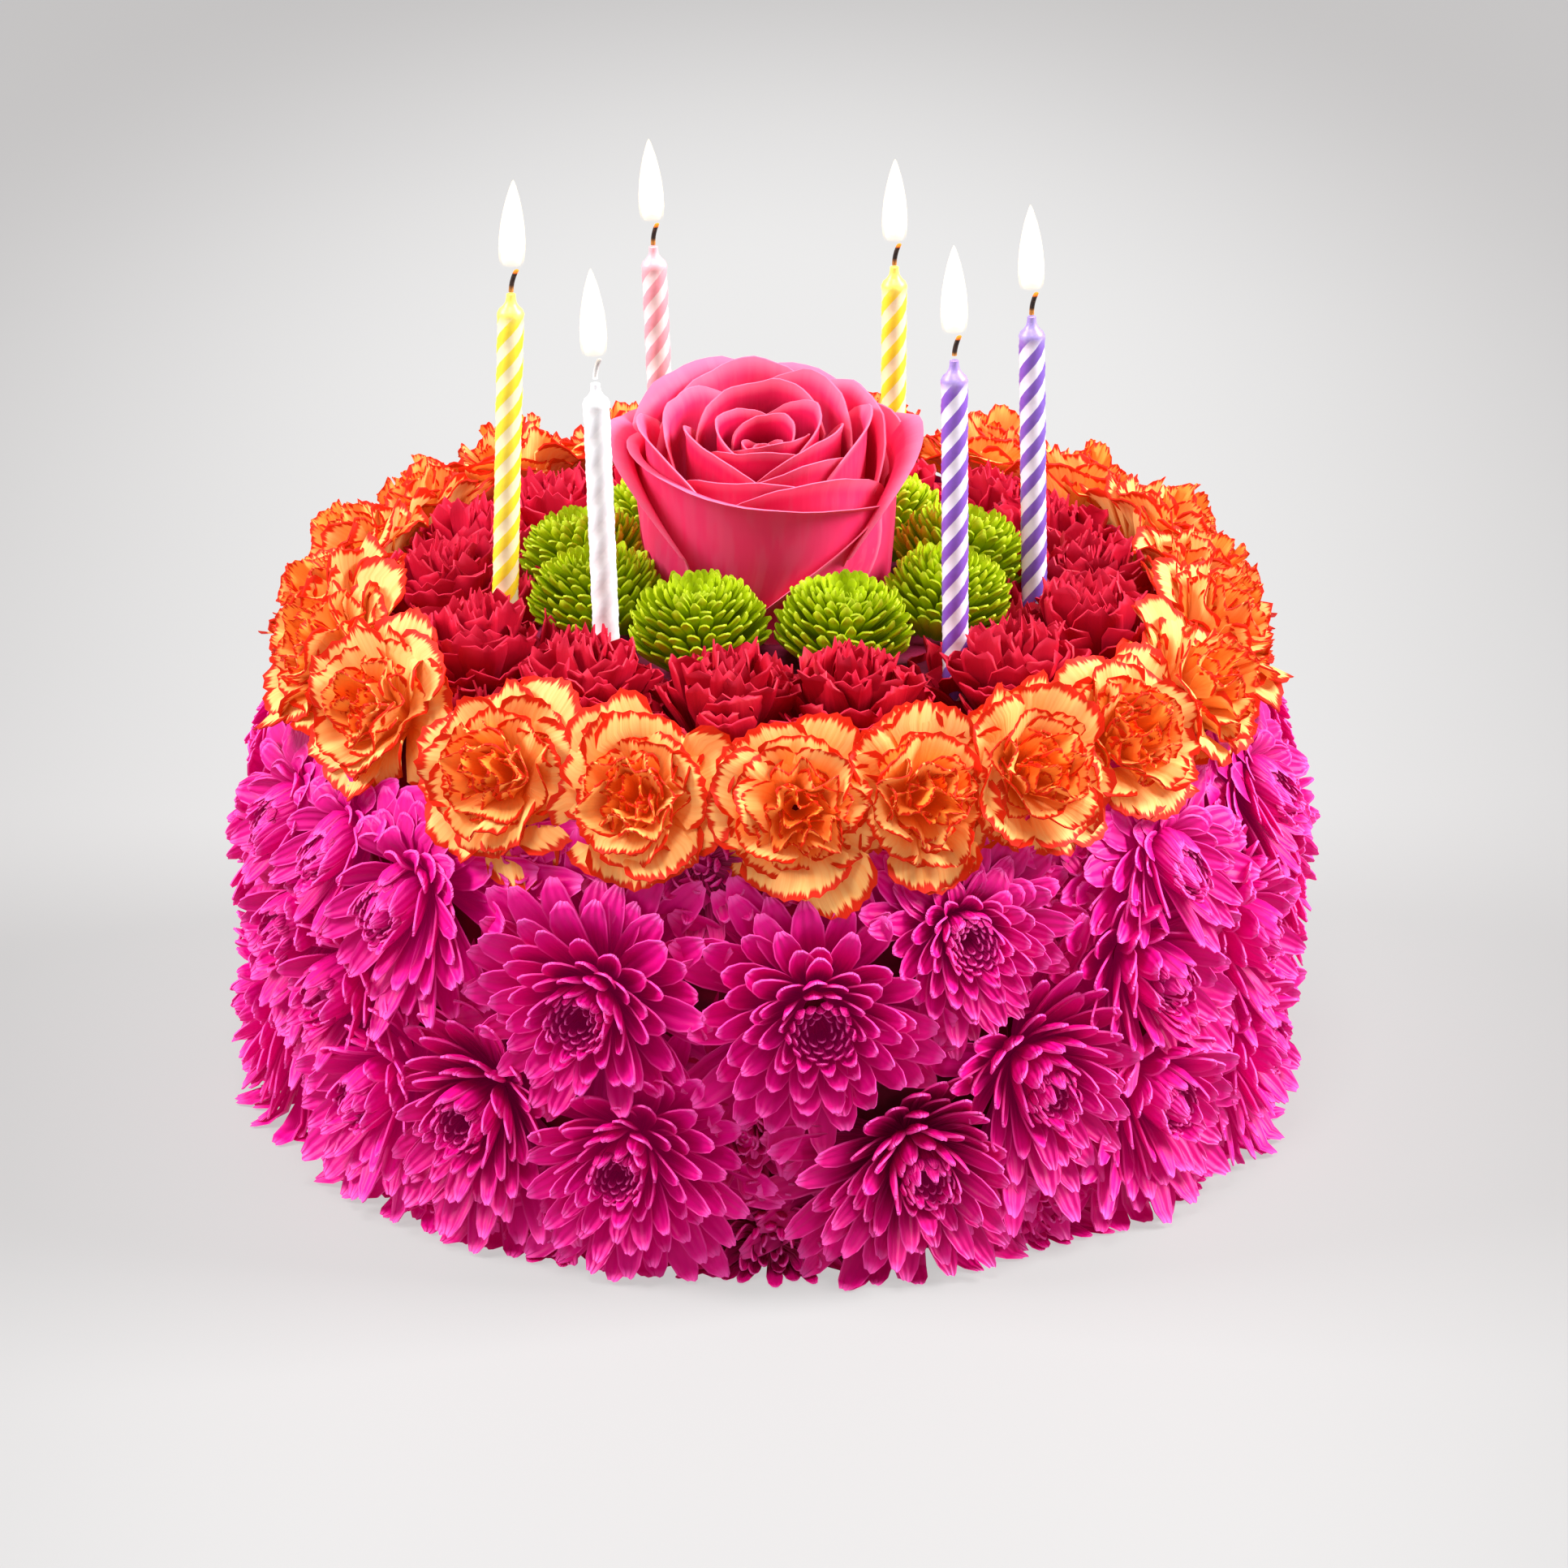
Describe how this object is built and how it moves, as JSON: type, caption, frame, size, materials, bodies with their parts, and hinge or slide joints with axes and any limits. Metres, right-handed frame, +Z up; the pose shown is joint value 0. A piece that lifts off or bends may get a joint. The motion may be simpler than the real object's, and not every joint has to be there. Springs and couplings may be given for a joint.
{
  "type": "flower birthday cake with candles",
  "caption": "Fresh flowers packed in the form of a round birthday cake: a magenta wall, orange, crimson and green rings, a pink rose and lit twisted candles.",
  "frame": {"origin": "centre of the flat base on the surface it stands on", "axes": "+Z up, -Y towards the front, +X to the right"},
  "size_m": [0.222, 0.2219, 0.1983],
  "materials": {
    "petals_magenta": "soft satin petals, magenta with paler rims",
    "petals_orange": "matte petals, apricot with red-orange fringed rims",
    "petals_crimson": "soft satin petals, crimson with lighter rims",
    "petals_green": "matte lime green petals",
    "petals_rose": "velvety hot pink petals",
    "wax_yellow": "satin wax with yellow and cream spiral stripes",
    "wax_white": "satin white wax with spiral flutes",
    "wax_pink": "satin wax with pink and pale pink spiral stripes",
    "wax_purple": "satin wax with purple and white spiral stripes",
    "wick": "charred cotton",
    "flame": "small bright flame"
  },
  "bodies": {
    "root": {"chrysanthemum_wall": "petals_magenta", "orange_carnation_1": "petals_orange", "orange_carnation_2": "petals_orange", "orange_carnation_3": "petals_orange", "orange_carnation_4": "petals_orange", "orange_carnation_5": "petals_orange", "orange_carnation_6": "petals_orange", "orange_carnation_7": "petals_orange", "orange_carnation_8": "petals_orange", "orange_carnation_9": "petals_orange", "orange_carnation_10": "petals_orange", "orange_carnation_11": "petals_orange", "orange_carnation_12": "petals_orange", "orange_carnation_13": "petals_orange", "orange_carnation_14": "petals_orange", "orange_carnation_15": "petals_orange", "orange_carnation_16": "petals_orange", "orange_carnation_17": "petals_orange", "orange_carnation_18": "petals_orange", "orange_carnation_19": "petals_orange", "orange_carnation_20": "petals_orange", "orange_carnation_21": "petals_orange", "crimson_carnations": "petals_crimson", "green_button_1": "petals_green", "green_button_2": "petals_green", "green_button_3": "petals_green", "green_button_4": "petals_green", "green_button_5": "petals_green", "green_button_6": "petals_green", "green_button_7": "petals_green", "green_button_8": "petals_green", "green_button_9": "petals_green", "rose": "petals_rose", "candle_yellow_left": "wax_yellow", "wick_yellow_left": "wick", "flame_yellow_left": "flame", "candle_white": "wax_white", "wick_white": "wick", "flame_white": "flame", "candle_pink": "wax_pink", "wick_pink": "wick", "flame_pink": "flame", "candle_yellow_right": "wax_yellow", "wick_yellow_right": "wick", "flame_yellow_right": "flame", "candle_purple_front": "wax_purple", "wick_purple_front": "wick", "flame_purple_front": "flame", "candle_purple_right": "wax_purple", "wick_purple_right": "wick", "flame_purple_right": "flame"}
  },
  "joints": []
}
